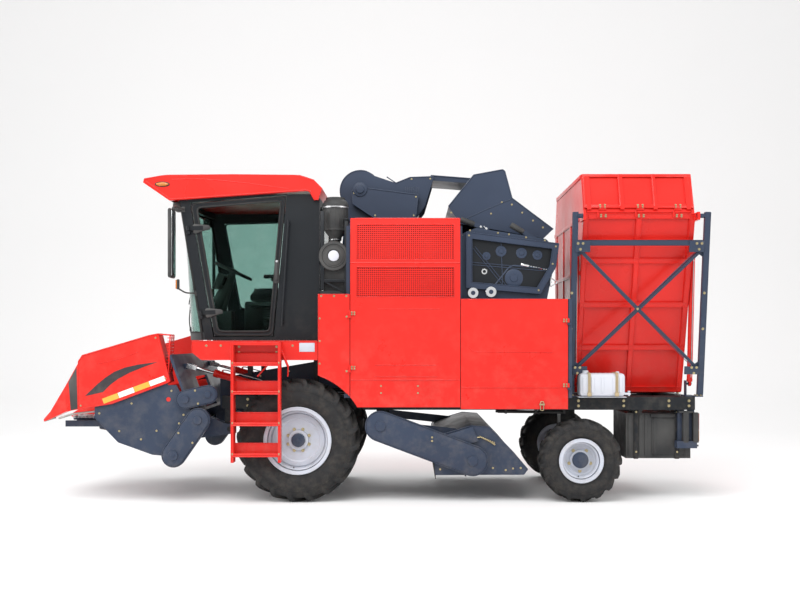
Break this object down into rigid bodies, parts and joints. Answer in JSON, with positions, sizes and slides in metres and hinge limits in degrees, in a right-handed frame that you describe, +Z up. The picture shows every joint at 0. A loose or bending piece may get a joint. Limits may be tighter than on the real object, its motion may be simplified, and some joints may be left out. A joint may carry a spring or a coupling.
{
  "type": "corn harvester",
  "caption": "Self-propelled three-row corn harvester with cab, ear elevator, husker, side-tipping bin and a stalk chopper between the axles.",
  "frame": {"origin": "on the ground, under the middle of the overall length and width", "axes": "+X to the machine's front, +Y to its left, +Z up"},
  "size_m": [6.51, 2.3, 3.3649],
  "materials": {
    "tyre": "matte",
    "silver_paint": "satin",
    "black_paint": "satin",
    "red_paint": "gloss",
    "slate_paint": "satin",
    "auger_paint": "satin",
    "chrome_rod": "polished",
    "tinted_glass": "clear",
    "seat_fabric": "matte",
    "black_plastic": "matte",
    "engine_iron": "matte",
    "white_plastic": "matte"
  },
  "bodies": {
    "chassis": {"chassis_frame": "black_paint", "drive_axle": "black_paint", "rear_axle": "black_paint", "cab_platform": "red_paint", "ladder": "red_paint", "cab_frame": "black_paint", "cab_roof": "red_paint", "cab_glass": "tinted_glass", "driver_seat": "seat_fabric", "steering_column": "black_plastic", "mirrors": "black_plastic", "body_frame": "slate_paint", "side_panels": "red_paint", "engine_block": "engine_iron", "air_cleaner": "black_plastic", "elevator": "slate_paint", "elevator_head": "slate_paint", "husker_hood": "slate_paint", "husker": "slate_paint", "bin_frame": "slate_paint", "water_can": "white_plastic", "fuel_tank": "black_plastic", "rear_lamps": "slate_paint"},
    "front_wheel_left": {"front_tyre_left": "tyre", "front_rim_left": "silver_paint"},
    "knuckle_left": {"knuckle_left": "black_paint"},
    "rear_wheel_left": {"rear_tyre_left": "tyre", "rear_rim_left": "silver_paint"},
    "front_wheel_right": {"front_tyre_right": "tyre", "front_rim_right": "silver_paint"},
    "knuckle_right": {"knuckle_right": "black_paint"},
    "rear_wheel_right": {"rear_tyre_right": "tyre", "rear_rim_right": "silver_paint"},
    "steer_rod": {"steer_rod": "chrome_rod"},
    "header": {"header_frame": "slate_paint", "header_covers": "red_paint", "row_snouts": "red_paint", "row_units": "slate_paint"},
    "auger": {"header_auger": "auger_paint"},
    "lift_barrels": {"lift_barrels": "red_paint"},
    "lift_rods": {"lift_rods": "chrome_rod"},
    "bin": {"bin_tub": "red_paint"},
    "bin_flap": {"bin_flap": "red_paint"},
    "tip_barrels": {"tip_barrels": "red_paint"},
    "tip_rods": {"tip_rods": "chrome_rod"},
    "chopper": {"chopper_housing": "slate_paint"},
    "chopper_rotor": {"chopper_rotor": "slate_paint"},
    "cab_door": {"cab_door": "black_paint", "cab_door_glass": "tinted_glass"},
    "engine_door_left": {"engine_door_left": "red_paint"},
    "husker_door_left": {"husker_door_left": "red_paint"},
    "engine_door_right": {"engine_door_right": "red_paint"},
    "husker_door_right": {"husker_door_right": "red_paint"}
  },
  "joints": [
    {"name": "front_wheel_spin_left", "type": "hinge", "parent": "chassis", "child": "front_wheel_left", "pos_m": [0.755, 0.8375, 0.605], "axis": [0, 1, 0], "continuous": true},
    {"name": "steer_left", "type": "hinge", "parent": "chassis", "child": "knuckle_left", "pos_m": [-2.02, 0.69, 0.408], "axis": [0, 0, 1], "range_deg": [-22, 22]},
    {"name": "rear_wheel_spin_left", "type": "hinge", "parent": "knuckle_left", "child": "rear_wheel_left", "pos_m": [-2.02, 0.8555, 0.408], "axis": [0, 1, 0], "continuous": true},
    {"name": "front_wheel_spin_right", "type": "hinge", "parent": "chassis", "child": "front_wheel_right", "pos_m": [0.755, -0.8375, 0.605], "axis": [0, 1, 0], "continuous": true},
    {"name": "steer_right", "type": "hinge", "parent": "chassis", "child": "knuckle_right", "pos_m": [-2.02, -0.69, 0.408], "axis": [0, 0, 1], "range_deg": [-22, 22]},
    {"name": "rear_wheel_spin_right", "type": "hinge", "parent": "knuckle_right", "child": "rear_wheel_right", "pos_m": [-2.02, -0.8555, 0.408], "axis": [0, 1, 0], "continuous": true},
    {"name": "steer_rod_slide", "type": "slide", "parent": "chassis", "child": "steer_rod", "axis": [0, 1, 0], "range_m": [-0.06, 0.06]},
    {"name": "header_lift", "type": "hinge", "parent": "chassis", "child": "header", "pos_m": [1.48, 0, 0.69], "axis": [0, -1, 0], "range_deg": [-22, 3]},
    {"name": "auger_spin", "type": "hinge", "parent": "header", "child": "auger", "pos_m": [2.015, 0, 1.01], "axis": [0, 1, 0], "continuous": true},
    {"name": "lift_barrel_swing", "type": "hinge", "parent": "chassis", "child": "lift_barrels", "pos_m": [1.07, 0, 1.095], "axis": [0, -1, 0], "range_deg": [-14.2, 2]},
    {"name": "lift_rod_slide", "type": "slide", "parent": "lift_barrels", "child": "lift_rods", "axis": [0.9637, 0, 0.267], "range_m": [-0.0245, 0.1795]},
    {"name": "bin_tip", "type": "hinge", "parent": "chassis", "child": "bin", "pos_m": [-2.6, 1.045, 2.795], "axis": [-1, 0, 0], "range_deg": [0, 90]},
    {"name": "bin_flap_hinge", "type": "hinge", "parent": "bin", "child": "bin_flap", "pos_m": [-2.6, 0.978, 2.842], "axis": [-1, 0, 0], "range_deg": [0, 110]},
    {"name": "tip_barrel_swing", "type": "hinge", "parent": "chassis", "child": "tip_barrels", "pos_m": [-2.6, 0.65, 1.15], "axis": [1, 0, 0], "range_deg": [0, 2.3]},
    {"name": "tip_rod_slide", "type": "slide", "parent": "tip_barrels", "child": "tip_rods", "axis": [0, 0.0813, 0.9967], "range_m": [0, 0.515]},
    {"name": "chopper_lift", "type": "hinge", "parent": "chassis", "child": "chopper", "pos_m": [-0.055, 0, 0.747], "axis": [0, 1, 0], "range_deg": [-4, 8]},
    {"name": "rotor_spin", "type": "hinge", "parent": "chopper", "child": "chopper_rotor", "pos_m": [-0.957, 0, 0.42], "axis": [0, 1, 0], "continuous": true},
    {"name": "cab_door_hinge", "type": "hinge", "parent": "chassis", "child": "cab_door", "pos_m": [1.737, 0.832, 1.862], "axis": [-0.1464, 0, -0.9892], "range_deg": [0, 75]},
    {"name": "engine_door_hinge_left", "type": "hinge", "parent": "chassis", "child": "engine_door_left", "pos_m": [0.24, 1.028, 1.5], "axis": [0, 0, -1], "range_deg": [0, 90]},
    {"name": "husker_door_hinge_left", "type": "hinge", "parent": "chassis", "child": "husker_door_left", "pos_m": [-1.885, 1.028, 1.5], "axis": [0, 0, 1], "range_deg": [0, 90]},
    {"name": "engine_door_hinge_right", "type": "hinge", "parent": "chassis", "child": "engine_door_right", "pos_m": [0.24, -1.028, 1.5], "axis": [0, 0, 1], "range_deg": [0, 90]},
    {"name": "husker_door_hinge_right", "type": "hinge", "parent": "chassis", "child": "husker_door_right", "pos_m": [-1.885, -1.028, 1.5], "axis": [0, 0, -1], "range_deg": [0, 90]}
  ],
  "couplings": [
    {"joint": "steer_right", "follows": "steer_left", "ratio": 1},
    {"joint": "steer_rod_slide", "follows": "steer_left", "m_per_rad": -0.1463},
    {"joint": "lift_barrel_swing", "follows": "header_lift", "ratio": 0.64162},
    {"joint": "lift_rod_slide", "follows": "header_lift", "m_per_rad": -0.46662},
    {"joint": "tip_barrel_swing", "follows": "bin_tip", "ratio": 0.024329},
    {"joint": "tip_rod_slide", "follows": "bin_tip", "m_per_rad": 0.32739}
  ]
}
